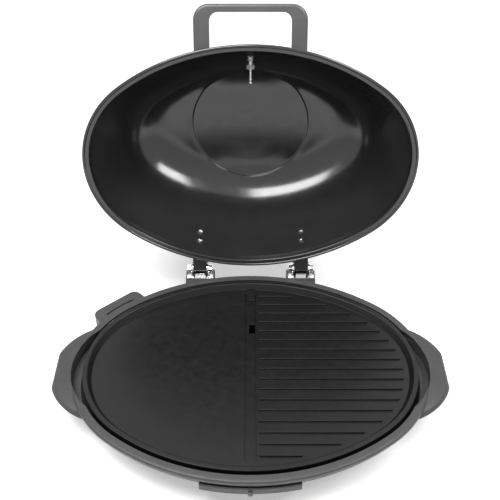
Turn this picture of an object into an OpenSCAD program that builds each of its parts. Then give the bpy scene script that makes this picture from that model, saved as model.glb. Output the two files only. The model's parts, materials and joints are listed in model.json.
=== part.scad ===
// Oval electric countertop grill with a hinged domed lid, shown with the lid open.
// Drawn about the middle of the cooking plate, with the front towards -Y, and then centred as a whole.
// Outlines are ovals of four arcs, and "out" is the distance outside the oval of the plate's inner edge.

/* [Cooking plate] */
// Width of the cooking surface across the two ends
plate_w = 458; // [440:1:480]
// Depth of the cooking surface from front to rear
plate_d = 330; // [322:1:340]
// Width of the flat ring round the plate
ring_w = 6.5; // [5:0.5:8]
// Height of the ring's top above the table
ring_h = 74; // [74:1:90]
// Depth of the cooking surface below the ring's top
well_h = 9; // [7:0.5:10]
// Thickness of the cast plate's floor
floor_t = 5; // [4:0.5:6]
// Slope that the plate's side wall takes up, measured inwards
wall_run = 5; // [3:0.5:7]
// Number of ribs on the grilling half
rib_count = 17; // [9:2:17]
// Distance from rib to rib
rib_pitch = 18; // [14:0.5:18]
// Width of a rib
rib_w = 3.5; // [2.5:0.5:5]
// Height of a rib
rib_h = 3; // [2:0.5:4]
// Width of the grease channel between the two halves
channel_w = 16; // [12:1:18]
// Depth of the grease channel below the cooking surface
channel_h = 2.5; // [1.5:0.5:3]
// Length of the grease drain from front to rear
drain_l = 18; // [12:1:22]
// Width of the grease drain
drain_w = 9; // [7:0.5:11]
// Distance of the drain behind the middle of the plate
drain_y = 79; // [60:1:90]
// Distance of the drain to the right of the middle
drain_x = 2.5; // [0:0.5:3]

/* [Base] */
// Gap between the plate's ring and the lip of the base
lip_gap = 4.5; // [3:0.5:6]
// Width of the rounded lip of the base
lip_w = 11; // [9:0.5:13]
// Wall thickness of the moulded parts
wall = 3; // [2.5:0.1:4]
// Height of the bowl from the ring's top to its underside
bowl_h = 60; // [58:0.5:62]
// Diameter of a foot on the table
foot_d = 26; // [20:1:30]
// Sideways place of the two front feet
front_foot_x = 150; // [110:1:160]
// Place of the front feet in front of the middle
front_foot_y = 85; // [70:1:92]
// Place of the rear feet behind the middle
rear_foot_y = 132; // [110:1:136]

/* [Side grips] */
// Distance from the middle of the plate to the outside of a grip
grip_x = 277.5; // [272:0.5:290]
// Radius of a grip's outline, seen from above
grip_round = 88; // [84:1:92]
// Height of a grip from its top to its underside
grip_h = 23; // [20:0.5:25]
// Width of the crescent well between the plate and a grip
crescent_w = 13; // [11:0.5:15]

/* [Drip tray] */
// Width of the drip tray between its side flanges
tray_w = 116; // [100:1:120]
// Depth of the drip tray
tray_h = 15; // [11:0.5:16]
// Wall thickness of the drip tray
tray_t = 1.8; // [1.2:0.1:2.5]
// Width of the flanges that the drip tray hangs by
flange_w = 6; // [4:0.5:7]
// How far the drip tray draws out
tray_travel = 240; // [100:5:260]

/* [Lid] */
// Angle from closed to open
open_angle = 97.5; // [90:0.5:100]
// Distance that the lid's rim stands outside the plate's inner edge
rim_out = 12.2; // [11:0.2:13]
// Radius of the rolled bead on the lid's rim
bead_r = 2.2; // [1.6:0.1:2.6]
// Width of the flat flange inside the bead
rim_flange = 10; // [8:0.5:11]
// Height of the upright band above the flange
band_h = 11; // [8:0.5:13]
// Lean of the dome's wall from upright
dome_lean = 24; // [20:1:28]
// Radius of the dome's shoulder
shoulder_r = 30; // [24:1:34]
// Inside height of the dome above its rim
dome_h = 139; // [120:1:145]
// Thickness of the lid's sheet
lid_t = 1; // [0.8:0.1:1.4]
// Diameter of the embossed circle in the dome's top
emboss_d = 182; // [120:1:184]
// Height of the embossed circle
emboss_h = 1.5; // [1:0.1:2.5]

/* [Lid handle] */
// Outside width of the handle
handle_w = 154; // [130:1:170]
// Width of the handle's two arms
arm_w = 21.5; // [16:0.5:24]
// Width of the bar that joins the arms
bar_w = 10.5; // [9:0.5:14]
// Thickness of the handle
handle_t = 12; // [9:0.5:14]
// Distance of the bar's front face from the middle of the plate
handle_y = 217; // [210:1:230]
// Height of the handle's root above the rim
handle_z = 31; // [29:0.5:36]
// Upward tilt of the handle
handle_tilt = 15; // [5:1:20]
// Outer corner radius of the handle
handle_r = 21; // [14:1:24]

/* [Hinges] */
// Distance of each hinge from the middle
hinge_x = 79.5; // [70:0.5:86]
// Distance of the hinge pins behind the plate's inner edge
hinge_out = 23.4; // [23:0.1:26]
// Height of the hinge pins above the ring's top
hinge_z = 11.3; // [10.8:0.1:12.5]
// Diameter of a hinge pin
pin_d = 6; // [5:0.5:7]
// Radial running clearance of a hinge pin
pin_fit = 0.05; // [0.02:0.01:0.08]
// Width of the lid's hinge leaf
leaf_w = 21; // [16:0.5:22]
// Thickness of the bracket's sheet
bracket_t = 2; // [1.5:0.1:2.5]

/* [Heating and inlet] */
// Diameter of the heating element's tube
element_d = 8; // [6:0.5:9]
// Distance of the element inside the plate's edge
element_in = 62; // [50:1:70]
// Direction of the inlet about the middle of the left end arc
inlet_angle = 131; // [129:1:133]
// Diameter of a terminal pin
terminal_d = 5; // [4:0.5:6]
// Distance between the two terminal pins
terminal_pitch = 28; // [26:0.5:32]
// Bore of the tube that takes the thermostat's probe
probe_d = 7; // [6:0.5:7.5]
// Width of the socket opening
socket_w = 56; // [50:1:60]
// Height of the socket opening
socket_h = 22; // [18:0.5:23]

/* [Temperature gauge] */
// Diameter of the gauge's case
gauge_d = 50; // [40:1:54]
// Depth of the gauge's case
gauge_h = 8.4; // [7:0.2:8.8]
// Height of the gauge's middle above the rim
gauge_z = 80; // [72:1:86]
// Length of the probe inside the lid, from the wall
gauge_probe = 45; // [36:1:60]

/* [Clearances] */
// Gap between fixed pieces that lie face to face
fit = 0.2; // [0.1:0.05:0.3]
// Gap between pieces that move past each other
run_gap = 0.4; // [0.3:0.05:0.6]

/* [Hidden] */
$fn = 96;
eps = 0.02;
// The oval's arcs: end arcs about (+-end_x, 0), side arcs about (0, +-side_y)
// Their centres make a triangle with sides as 3 to 4 to 5, so that the arcs meet in an exact plane
half_w = plate_w / 2;
half_d = plate_d / 2;
oval_unit = (half_w - half_d) / 2;
end_x = 3 * oval_unit;
side_y = 4 * oval_unit;
end_r = half_w - end_x;
side_r = end_r + 5 * oval_unit;
end_angle = atan2(4, 3);
// Levels below the ring's top
floor_z = -well_h;
under_z = floor_z - floor_t;
lip_z = -2.5;
bowl_z = -bowl_h;
pan_t = 0.8;
roof_z = bowl_z + 22;
pan_z = roof_z + 2;
element_z = under_z - element_d / 2 - 2;
lead_z = element_z;
// Outline of the base
lip_in = ring_w + lip_gap;
base_out = lip_in + lip_w;
post_d = 16;
post_x = 128;
post_y = 82;
leg_d = 10;
boss_d = 9;
leg_z = pan_z + pan_t + 1.8 + fit;
pad_z = element_z - element_d / 2;
tube_r = probe_d / 2 + 1.2;
probe_x = end_r - 24;
terminal_x = end_r - 14;
collar_l = 9.4;
neck_d = terminal_d - 0.6;
terminal_l = 28;
// Grips
grip_top = -4;
grip_slope = 4;
grip_root = 30;
crescent_r = 94;
crescent_x = half_w + lip_in + crescent_w - crescent_r;
grip_low = grip_top - grip_h;
grip_taper = 8;
grip_under = 12;
grip_mid = grip_x + 5.5 - grip_round;
grip_screw_y = 26;
grip_screw_x = grip_x - 20;
cover_t = 2.5;
// Inlet
socket_z = lead_z - socket_h / 2;
guard_out = base_out + 19;
guard_top = -5;
guard_low = socket_z - 4;
guard_screw_y = socket_w / 2 + 6.5;
guard_seat_x = end_r + 27;
// Drip tray and its tunnel
tunnel_w = tray_w + 2 * (flange_w + run_gap + 1);
tray_top = roof_z - wall - run_gap - 1;
tray_back = drain_y + drain_l / 2 + 20;
fascia_top = -17;
fascia_lip = -28;
rail_w = flange_w;
opening_gap = 0.5;
flange_t = 1.4;
nub_r = 3.6;
tray_low = tray_top - tray_h;
tray_front_y = -half_d + 6;
rail_top = tray_top - flange_t - run_gap;
rail_x = tunnel_w / 2;
rail_y = [-half_d + 34, tray_back - 2];
rail_screw_d = 2.4;
rail_screw_y = [rail_y[0] + 25, rail_y[1] - 25];
foot_h = ring_h - bowl_h;
// Lid, measured closed, with its rim above the ring
rim_z = 0.5;
bead_out = rim_out - bead_r;
flange_z = rim_z + bead_r;
band_out = rim_out - rim_flange;
band_z = flange_z + band_h;
band_r = 5;
dome_z = rim_z + dome_h;
// Height of the straight part of the dome's wall, between the two radii
cone_h = dome_z + lid_t - band_z - (band_r + lid_t) * sin(dome_lean) - shoulder_r * (1 - sin(dome_lean));
cone_run = cone_h * tan(dome_lean);
shoulder_out = band_out + lid_t - (band_r + lid_t) * (1 - cos(dome_lean)) - cone_run - shoulder_r * cos(dome_lean);
cone_z0 = band_z + (band_r + lid_t) * sin(dome_lean);
cone_out0 = band_out + lid_t - (band_r + lid_t) * (1 - cos(dome_lean));
shoulder_z = dome_z + lid_t - shoulder_r;
// Hinge
hinge_y = half_d + hinge_out;
knuckle_r = 5;
tower_w = 45;
tower_top = -1;
tower_y0 = hinge_y - 12.5;
tower_y1 = hinge_y + 11.5;
ear_x = leaf_w / 2 + run_gap - 0.1;
stop_z = hinge_z + 5.1;
// Outline of the lid's leaf beyond its knuckle, from the pin
leaf_points = [[-20.4, 14.7], [-32.4, 44.7], [-48.4, 44.7], [-38.4, 6.7], [-20.4, -1.8]];
washer_x = ear_x + bracket_t + 0.05;
washer_t = 1.2;
washer_r = 6.5;
nut_r = 6.4;
nut_h = 7;
screw_d = 4;
leaf_screw_z = [32, 47];
// Handle, in a frame at its root, with +Y along the arms
handle_root = half_d - 5.5;
handle_l = (handle_y - handle_root) / cos(handle_tilt);
handle_edge = 4;
handle_inner_r = 12;
handle_screw_z = rim_z + handle_z - 2;
arm_x = (handle_w - arm_w) / 2;
// Gauge, in a frame on the wall's outside, with +Z outwards
stem_d = 6;
stem_hole_d = stem_d + 0.4;
spacer_h = 5;
wing_h = 6;
collar_h = 4;
lock_h = 6;
ball_d = 5;
dial_z = 3.4;
case_t = 1;

// Middle of the whole from front to rear, measured from the plate's middle with the lid open
front_y = -half_d - base_out + 1.2 - nub_r;
rear_y = hinge_y - (emboss_d / 2 + lid_t + hinge_y) * cos(open_angle)
    + (dome_z + lid_t + emboss_h - hinge_z) * sin(open_angle);
middle_y = (front_y + rear_y) / 2;

// The oval, grown outwards by out
module oval(out) {
    reach = (side_r + out) * cos(end_angle);
    for (side = [0, 180]) rotate(side) {
        translate([end_x, 0]) circle(end_r + out);
        intersection() {
            translate([0, -side_y]) circle(side_r + out);
            translate([-reach, -1]) square([2 * reach, side_r]);
        }
    }
}

// A slab between two levels that fills the middle of a swept outline, with corners on the oval
module oval_slab(out, low, high) {
    quarter = concat(arc([end_x, 0], end_r + out, 0, end_angle, 4), arc([0, -side_y], side_r + out, end_angle, 90, 4));
    half = concat(quarter, [for (i = [len(quarter) - 2 : -1 : 0]) [-quarter[i][0], quarter[i][1]]]);
    for (side = [0, 180]) rotate(side) translate([0, 0, low]) linear_extrude(high - low) polygon(half);
}

// A profile of [out, level], swept once round the oval, as two ends and two sides cut where their arcs meet
module oval_sweep() {
    for (side = [0, 180]) rotate(side) {
        intersection() {
            translate([end_x, 0, 0]) rotate_extrude() translate([end_r, 0]) children();
            sector([end_x, 0], [[3, -4], [3, 4]]);
        }
        side_sweep() children();
    }
}

module sector(corner, ways) {
    translate([corner[0], corner[1], -200]) linear_extrude(500) polygon([[0, 0], ways[0] * 100, ways[1] * 100]);
}

module side_sweep() {
    intersection() {
        translate([0, -side_y, 0]) rotate_extrude() translate([side_r, 0]) children();
        sector([0, -side_y], [[3, 4], [-3, 4]]);
    }
}

// The same profile, swept along the rear or the front side only
module rear_sweep() {
    side_sweep() children();
}
module front_sweep() {
    rotate(180) side_sweep() children();
}

// How far the oval reaches sideways at a given y
function oval_x(y, out) = abs(y) < (end_r + out) * sin(end_angle)
    ? end_x + sqrt(pow(end_r + out, 2) - y * y)
    : sqrt(pow(side_r + out, 2) - pow(abs(y) + side_y, 2));

// Points of an arc
function arc(centre, r, from, to, steps) =
    [for (i = [0 : steps]) centre + r * [cos(from + (to - from) * i / steps), sin(from + (to - from) * i / steps)]];

// A convex outline, listed counter-clockwise, with every corner rounded
function rounded(points, r, steps = 8) = [for (i = [0 : len(points) - 1])
    let (p = points[i], a = points[(i + len(points) - 1) % len(points)], b = points[(i + 1) % len(points)],
        u = (a - p) / norm(a - p), v = (b - p) / norm(b - p), m = (u + v) / norm(u + v),
        half = acos(u * v) / 2, c = p + m * r / sin(half),
        turn = 180 - 2 * half, first = atan2(p[1] + u[1] * r / tan(half) - c[1], p[0] + u[0] * r / tan(half) - c[0]))
    for (q = arc(c, r, first, first + turn, steps)) q];

module rounded_slab(points, r, low, high) {
    translate([0, 0, low]) linear_extrude(high - low) polygon(rounded(points, r));
}

module bar(from, to) {
    translate(from) cube(to - from);
}

module both_sides() {
    children();
    mirror([1, 0, 0]) children();
}

// A profile of [y, z], extruded between two values of x
module across(x0, x1) {
    translate([x0, 0, 0]) rotate([90, 0, 90]) linear_extrude(x1 - x0) children();
}

// Places what is drawn about the plate's middle, and what is drawn on the closed lid
module on_base() {
    translate([0, -middle_y, ring_h]) children();
}
module on_lid() {
    translate([0, hinge_y - middle_y, ring_h + hinge_z]) rotate([-open_angle, 0, 0])
        translate([0, -hinge_y, -hinge_z]) children();
}

// The inlet's own frame: +X outwards from the middle of the left end arc
module at_inlet() {
    translate([-end_x, 0, 0]) rotate(inlet_angle) children();
}

// Base

module bowl_outside() {
    oval_sweep() polygon(concat([[-60, lip_z], [lip_in + lip_w * 0.5, lip_z]],
        [for (p = arc([lip_in + lip_w - 4, lip_z - 5], 5, 75, -10, 6)) [min(p[0], base_out), p[1]]],
        [[base_out - 5, -20], [base_out - 10.5, -30], [base_out - 18, -42],
        [base_out - 30, bowl_z + 6], [base_out - 40, bowl_z], [-60, bowl_z]]));
    oval_slab(-54, bowl_z, lip_z);
}

module bowl_inside() {
    oval_sweep() polygon([[-60, 5], [lip_in - 1.5, 5], [lip_in, lip_z - wall + 1.5], [lip_in, lip_z - wall - 1],
        [base_out - wall - 0.5, lip_z - wall - 1], [base_out - wall - 0.5, -11],
        [base_out - wall - 5, -20], [base_out - wall - 10.7, -30], [base_out - wall - 18.5, -42],
        [base_out - wall - 30, bowl_z + wall + 5], [base_out - wall - 38, bowl_z + wall], [-60, bowl_z + wall]]);
    oval_slab(-54, bowl_z + wall, 5);
}

// Half of a grip's section, whose top slopes down and whose side runs in below, by a taper
function grip_section(edge, taper, drop) = [[0, grip_low], [edge - taper, grip_low], [edge - 2, grip_low + 8],
    [edge, grip_top - grip_slope - 6], [edge - 1.5, grip_top - grip_slope - 2.5 - drop],
    [edge - 5, grip_top - grip_slope - drop], [edge - grip_root, grip_top - drop], [0, grip_top - drop]];

// The right grip: a turned outline, cut along its outer edge by the same kind of section
module grip_solid(inset) {
    intersection() {
        translate([grip_mid, 0, 0]) rotate_extrude() polygon(grip_section(grip_round - inset, grip_under, inset));
        rotate([90, 0, 0]) translate([0, 0, -200]) linear_extrude(400)
            polygon(grip_section(grip_x - inset, grip_taper, inset));
    }
}

// Outline of the grip's underside
module grip_floor(inset) {
    intersection() {
        translate([grip_mid, 0]) circle(grip_round - grip_under - inset);
        translate([0, -200]) square([grip_x - grip_taper - inset, 400]);
    }
}

// The space inside a grip, open at the bottom
module grip_space(gap) {
    difference() {
        union() {
            grip_solid(wall + gap);
            translate([0, 0, grip_low - 1]) linear_extrude(2) grip_floor(wall + gap);
        }
        translate([0, 0, grip_low - 2]) linear_extrude(grip_h + 10) {
            crescent(wall + gap);
            oval(base_out + gap);
        }
    }
}

// The crescent between the plate's gap and the grip
module crescent(grow) {
    intersection() {
        translate([crescent_x, 0]) circle(crescent_r + grow);
        translate([half_w * 0.75, -100]) square([120, 200]);
    }
}

module hinge_tower() {
    across(hinge_x - tower_w / 2, hinge_x + tower_w / 2)
        polygon([[tower_y0 - 8, -30], [tower_y0 - 8, lip_z - 1], [tower_y0, lip_z - 1], [tower_y0, tower_top - 1],
            [tower_y0 + 1, tower_top], [tower_y1 - 3, tower_top], [tower_y1, tower_top - 3], [tower_y1, -24],
            [tower_y0 + 4, -44], [tower_y0 - 8, -44]]);
}

module foot_places() {
    both_sides() {
        translate([front_foot_x, -front_foot_y, 0]) children();
        translate([hinge_x, rear_foot_y, 0]) children();
    }
}

module post_places() {
    for (x = [-post_x, post_x], y = [-post_y, post_y]) translate([x, y, 0]) children();
}

module grip_screw_places() {
    for (y = [-grip_screw_y, grip_screw_y]) translate([grip_screw_x, y, 0]) children();
}

module socket_window(from, to) {
    at_inlet() bar([from, -socket_w / 2, socket_z], [to, socket_w / 2, socket_z + socket_h]);
}

module tunnel_solid(grow, low, high) {
    bar([-tunnel_w / 2 - grow, -half_d - 40, low], [tunnel_w / 2 + grow, tray_back + 4 + grow, high]);
}

module base_housing() {
    color([0.16, 0.16, 0.17]) difference() {
        union() {
            difference() {
                union() {
                    bowl_outside();
                    both_sides() grip_solid(0);
                    both_sides() hinge_tower();
                }
                bowl_inside();
                both_sides() translate([0, 0, grip_low + wall]) linear_extrude(40) difference() {
                    crescent(0);
                    oval(lip_in - 1);
                }
                both_sides() grip_space(0);
            }
            intersection() {
                tunnel_solid(wall, bowl_z, roof_z);
                bowl_outside();
            }
            post_places() translate([0, 0, bowl_z + 1]) cylinder(d = post_d, h = pan_z - bowl_z - 1);
            both_sides() grip_screw_places() translate([0, 0, grip_low + cover_t + 0.1])
                cylinder(d = 8, h = grip_h - cover_t - grip_slope - 1.5);
            foot_places() translate([0, 0, bowl_z + 1]) cylinder(d = foot_d - 4, h = wall + 3);
            at_inlet() for (y = [-guard_screw_y, guard_screw_y]) translate([end_r, y, lead_z]) rotate([0, 90, 0])
                cylinder(d = 9, h = 9);
        }
        tunnel_solid(0, bowl_z - 1, roof_z - wall);
        bar([-20, drain_y - 20, roof_z - wall - 1], [20, drain_y + 20, roof_z + 1]);
        socket_window(end_r + 2, end_r + 40);
        post_places() translate([0, 0, pan_z - 14]) cylinder(d = screw_d - 0.6, h = 20);
        both_sides() grip_screw_places() translate([0, 0, grip_low]) cylinder(d = screw_d - 0.6, h = 14);
        foot_places() translate([0, 0, bowl_z - 1]) cylinder(d = screw_d - 0.6, h = 7);
        both_sides() for (x = [hinge_x - 17.5, hinge_x + 17.5]) translate([x, tower_y0 + 4.5, tower_top - 12])
            cylinder(d = screw_d - 0.6, h = 20);
        at_inlet() for (y = [-guard_screw_y, guard_screw_y]) translate([end_r + 4, y, lead_z]) rotate([0, 90, 0])
            cylinder(d = screw_d - 0.6, h = 20);
        both_sides() for (y = rail_screw_y) translate([rail_x - 1, y, rail_top - 5.5]) rotate([0, 90, 0])
            cylinder(d = rail_screw_d + 0.2, h = 3.2);
    }
}

// Plates that close the hollow grips from below
module grip_cover() {
    color([0.13, 0.13, 0.14]) difference() {
        intersection() {
            grip_space(fit);
            translate([0, 0, grip_low]) linear_extrude(cover_t) grip_floor(wall + fit);
            bar([grip_x - 60, -100, grip_low - 1], [grip_x, 100, grip_low + cover_t + 1]);
        }
        grip_screw_places() translate([0, 0, grip_low - 1]) cylinder(d = screw_d + 0.4, h = 10);
        for (y = [-18 : 9 : 18]) bar([grip_x - 40, y - 1.5, grip_low - 1], [grip_x, y + 1.5, grip_low + 1]);
    }
}

module grip_cover_screws() {
    color([0.6, 0.6, 0.62]) both_sides() grip_screw_places() translate([0, 0, grip_low])
        rotate([180, 0, 0]) screw(12);
}

// A screw with its seat at z = 0 and its shank downwards
module screw(l) {
    cylinder(r = screw_d * 0.85, h = 1.8);
    translate([0, 0, -l]) cylinder(d = screw_d - 0.8, h = l + eps);
}

// Hood over the socket, with a narrow slot between it and the base
module inlet_guard() {
    half = socket_w / 2 + 12;
    r = end_r + guard_out;
    color([0.16, 0.16, 0.17]) difference() {
        at_inlet() difference() {
            translate([0, 0, guard_low]) linear_extrude(guard_top - guard_low)
                polygon(rounded([[end_r, -half - 3], [r - 1, -half + 1], [r, half - 1], [end_r, half + 3]], 12));
            bar([0, -half - 20, guard_low - 1], [end_r + 8, half + 20, 5]);
            bar([0, -socket_w / 2, socket_z - 10], [r + 10, socket_w / 2, socket_z + socket_h]);
            translate([0, 0, socket_z]) linear_extrude(30) intersection() {
                difference() {
                    circle(end_r + base_out + 5);
                    circle(end_r + base_out + 2.2);
                }
                translate([0, -socket_w / 2 + 4]) square([300, socket_w - 8]);
            }
            for (y = [-guard_screw_y, guard_screw_y]) translate([end_r, y, lead_z]) rotate([0, 90, 0]) {
                cylinder(d = screw_d + 0.4, h = 60);
                translate([0, 0, guard_seat_x - end_r]) cylinder(d = 8.6, h = 30);
            }
        }
        oval_sweep() guard_seat();
    }
}

// The base's outside grown by the fit, to cut the guard's seat
module guard_seat() {
    polygon([[-60, 5], [base_out + fit, 5], [base_out + fit, lip_z - 6], [base_out - 5 + fit, -20],
        [base_out - 10.5 + fit, -30], [base_out - 18 + fit, -42], [-60, -42]]);
}

module guard_screws() {
    color([0.6, 0.6, 0.62]) at_inlet() for (y = [-guard_screw_y, guard_screw_y])
        translate([guard_seat_x, y, lead_z]) rotate([0, 90, 0]) screw(20);
}

module feet() {
    color([0.07, 0.07, 0.07]) foot_places() difference() {
        union() {
            translate([0, 0, -ring_h]) cylinder(d1 = foot_d - 2, d2 = foot_d, h = 1.5);
            translate([0, 0, -ring_h + 1.5]) cylinder(d1 = foot_d, d2 = foot_d - 5, h = foot_h - 1.5 - fit);
        }
        translate([0, 0, -ring_h - 1]) cylinder(d = 11, h = 7);
        translate([0, 0, -ring_h]) cylinder(d = screw_d + 0.4, h = foot_h + 1);
    }
}

module foot_screws() {
    color([0.6, 0.6, 0.62]) foot_places() translate([0, 0, -ring_h + 6 - fit]) {
        translate([0, 0, -2.2]) cylinder(d = 8, h = 2.2);
        cylinder(d = screw_d - 0.8, h = foot_h - 1);
    }
}

// Bright pan that throws the heat back up at the plate
module heat_reflector() {
    color([0.78, 0.78, 0.76]) difference() {
        union() {
            oval_sweep() polygon([[-50, pan_z], [-18, pan_z], [-2, pan_z + 8], [-2, pan_z + 9],
                [-2.8, pan_z + 9], [-2.8, pan_z + 8.3], [-18.3, pan_z + pan_t], [-50, pan_z + pan_t]]);
            oval_slab(-44, pan_z, pan_z + pan_t);
        }
        bar([drain_x - 15, drain_y - 16, pan_z - 1], [drain_x + 15, drain_y + 16, pan_z + 5]);
        post_places() translate([0, 0, pan_z - 1]) cylinder(d = screw_d + 0.4, h = 5);
        at_inlet() bar([end_r - 30, -socket_w / 2, pan_z + 1.5], [end_r + 5, socket_w / 2, 0]);
    }
}

module reflector_screws() {
    color([0.6, 0.6, 0.62]) post_places() translate([0, 0, pan_z + pan_t]) screw(12);
}

// Angle strips in the tunnel that the tray's flanges slide on
module tray_rails() {
    color([0.62, 0.63, 0.64]) both_sides() difference() {
        union() {
            bar([rail_x - fit - rail_w, rail_y[0], rail_top - 1.5], [rail_x - fit, rail_y[1], rail_top]);
            bar([rail_x - fit - 1.5, rail_y[0], rail_top - 9], [rail_x - fit, rail_y[1], rail_top]);
        }
        for (y = rail_screw_y) translate([rail_x - 5, y, rail_top - 5.5]) rotate([0, 90, 0]) cylinder(d = 2.8, h = 10);
    }
}

module rail_screws() {
    color([0.6, 0.6, 0.62]) both_sides() for (y = rail_screw_y)
        translate([rail_x - fit - 1.5 - 0.1, y, rail_top - 5.5]) rotate([0, 90, 0]) {
            translate([0, 0, -1.1]) cylinder(d = 4.4, h = 1.1);
            cylinder(d = rail_screw_d, h = 3.6);
        }
}

// Tray that catches the grease, with a front that stands before the base's wall
module drip_tray() {
    color([0.14, 0.14, 0.15]) {
        difference() {
            union() {
                bar([-tray_w / 2, tray_front_y, tray_low], [tray_w / 2, tray_back, tray_top]);
                bar([-tray_w / 2 - flange_w, tray_front_y + 20, tray_top - flange_t],
                    [tray_w / 2 + flange_w, tray_back, tray_top]);
            }
            bar([-tray_w / 2 + tray_t, tray_front_y + tray_t, tray_low + tray_t],
                [tray_w / 2 - tray_t, tray_back - tray_t, tray_top + 1]);
        }
        tray_front();
        intersection() {
            bar([-tray_w / 2, -half_d - 10, tray_low], [tray_w / 2, tray_front_y + 1, tray_low + tray_t]);
            front_sweep() polygon([[-60, bowl_z], [3, bowl_z], [3, 0], [-60, 0]]);
        }
    }
}

module tray_front() {
    half = tunnel_w / 2 - opening_gap + fit;
    foot_out = base_out + (tray_low - fascia_lip) * 0.605;
    intersection() {
        front_sweep() polygon([[base_out - wall, fascia_top], [base_out - 1, fascia_top], [base_out, fascia_top - 1],
            [base_out, fascia_lip], [base_out - 1.2, fascia_lip - 1.2], [foot_out, tray_low],
            [foot_out - wall, tray_low], [base_out - wall - 1, fascia_lip - 1.5], [base_out - wall, fascia_lip]]);
        bar([-half, -half_d - 60, bowl_z], [half, -half_d + 20, 0]);
    }
    both_sides() intersection() {
        front_sweep() polygon([[base_out - 2, fascia_top - 0.5], [base_out - 2, fascia_lip], [foot_out - 1, tray_low],
            [-3, tray_low], [-3, -50], [base_out - 17.3, -42], [base_out - 9.8, -30], [base_out - 4.3, -20],
            [base_out - 3.3, fascia_top - 0.5]]);
        bar([half - wall, -half_d - 60, bowl_z], [half, -half_d + 20, 0]);
    }
    translate([0, -half_d - base_out + 1.2, fascia_lip - 2]) cylinder(r = nub_r, h = 8);
}

// Cooking plate

module rib(y) {
    end = oval_x(y, -wall_run - 8) - rib_w / 2;
    start = channel_w / 2 + 3 + rib_w / 2;
    side = [[0, -1], [rib_w / 2, -1], [rib_w / 2, rib_h - 1], [rib_w / 2 - 0.7, rib_h], [0, rib_h]];
    translate([0, y, floor_z]) {
        translate([start, 0, 0]) rotate([90, 0, 90]) linear_extrude(end - start)
            polygon(concat(side, [[-rib_w / 2 + 0.7, rib_h], [-rib_w / 2, rib_h - 1], [-rib_w / 2, -1]]));
        translate([start, 0, 0]) rotate(90) rotate_extrude(angle = 180) polygon(side);
        translate([end, 0, 0]) rotate(-90) rotate_extrude(angle = 180) polygon(side);
    }
}

module grill_plate() {
    channel_l = half_d - wall_run - 10;
    color([0.17, 0.17, 0.18]) difference() {
        union() {
            oval_sweep() polygon([[-wall_run - 14, floor_z], [-wall_run, floor_z], [-0.8, -1], [0, -0.2], [0.5, 0],
                [ring_w - 0.8, 0], [ring_w, -0.8], [ring_w, -13], [ring_w - 3, -13], [ring_w - 3, -4],
                [0.2, -4], [-wall_run + 1.5, under_z], [-wall_run - 14, under_z]]);
            oval_slab(-wall_run - 8, under_z, floor_z);
            for (i = [0 : rib_count - 1]) rib((i - (rib_count - 1) / 2) * rib_pitch);
            bar([-channel_w / 2 - 3, -channel_l, under_z - channel_h], [channel_w / 2 + 3, channel_l, under_z + 1]);
            bar([drain_x - drain_w / 2 - 3, drain_y - drain_l / 2 - 3, roof_z - wall + 0.6],
                [drain_x + drain_w / 2 + 3, drain_y + drain_l / 2 + 3, under_z]);
            oval_sweep() translate([-element_in, 0])
                polygon([[-7, element_z - 0.5], [7, element_z - 0.5], [7, under_z + 1], [-7, under_z + 1]]);
            clamp_places() for (x = [-11, 11]) translate([x, 0, pad_z]) cylinder(d = boss_d, h = under_z - pad_z + 1);
            post_places() translate([0, 0, leg_z]) cylinder(d = leg_d, h = under_z - leg_z + 1);
            at_inlet() bar([end_r - 44, -terminal_pitch / 2 - 8, lead_z - 7],
                [end_r - 14, terminal_pitch / 2 + 8, under_z + 1]);
        }
        bar([-channel_w / 2, -channel_l, floor_z - channel_h], [channel_w / 2, channel_l, 1]);
        bar([drain_x - drain_w / 2, drain_y - drain_l / 2, -60], [drain_x + drain_w / 2, drain_y + drain_l / 2, 1]);
        element_path(element_d / 2 + fit / 2, 1);
        clamp_places() for (x = [-11, 11]) translate([x, 0, pad_z - 1]) cylinder(d = 2.8, h = 7);
        at_inlet() translate([probe_x, 0, lead_z]) rotate([0, 90, 0]) cylinder(r = tube_r + fit / 2, h = 50);
    }
    color([0.17, 0.17, 0.18]) {
        bar([-5, drain_y + 13, floor_z - channel_h - 1], [7, drain_y + 21, floor_z]);
        bar([-5, drain_y + 55, floor_z - channel_h - 1], [7, half_d - wall_run - 1, floor_z + 1.5]);
    }
}

// The element's loop with its two leads, whose axes lie in one plane
module element_path(r, extra) {
    reach = end_r - element_in;
    difference() {
        oval_sweep() polygon(arc([-element_in, element_z], r, 0, 345, 23));
        at_inlet() bar([20, -terminal_pitch / 2, element_z - 10], [end_r, terminal_pitch / 2, element_z + 10]);
    }
    at_inlet() for (y = [-1, 1]) translate([reach - 8, y * terminal_pitch / 2, element_z]) rotate([0, 90, 0])
        cylinder(r = r + 0.3, h = terminal_x - reach + 8 + extra);
}

module heating_element() {
    color([0.35, 0.36, 0.38]) element_path(element_d / 2, 0);
}

// Places of the straps along the loop, with +X across it
module clamp_places() {
    for (x = [-1, 1]) translate([x * (half_w - element_in), 0, 0]) children();
    for (a = [-12, 12]) translate([0, side_y, 0]) rotate(a - 90) translate([side_r - element_in, 0, 0]) children();
    translate([0, -side_y, 0]) rotate(74) translate([side_r - element_in, 0, 0]) children();
}

module element_clamps() {
    color([0.7, 0.7, 0.7]) clamp_places() difference() {
        bar([-15, -5, pad_z - fit / 2 - 1.5], [15, 5, pad_z - fit / 2]);
        for (x = [-11, 11]) translate([x, 0, pad_z - 3]) cylinder(d = 3.4, h = 5);
    }
}

module clamp_screws() {
    color([0.6, 0.6, 0.62]) clamp_places() for (x = [-11, 11]) translate([x, 0, pad_z - fit / 2 - 1.5]) rotate([180, 0, 0]) {
        cylinder(d = 5.5, h = 1.6);
        translate([0, 0, -6]) cylinder(d = 2.6, h = 6 + eps);
    }
}

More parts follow.
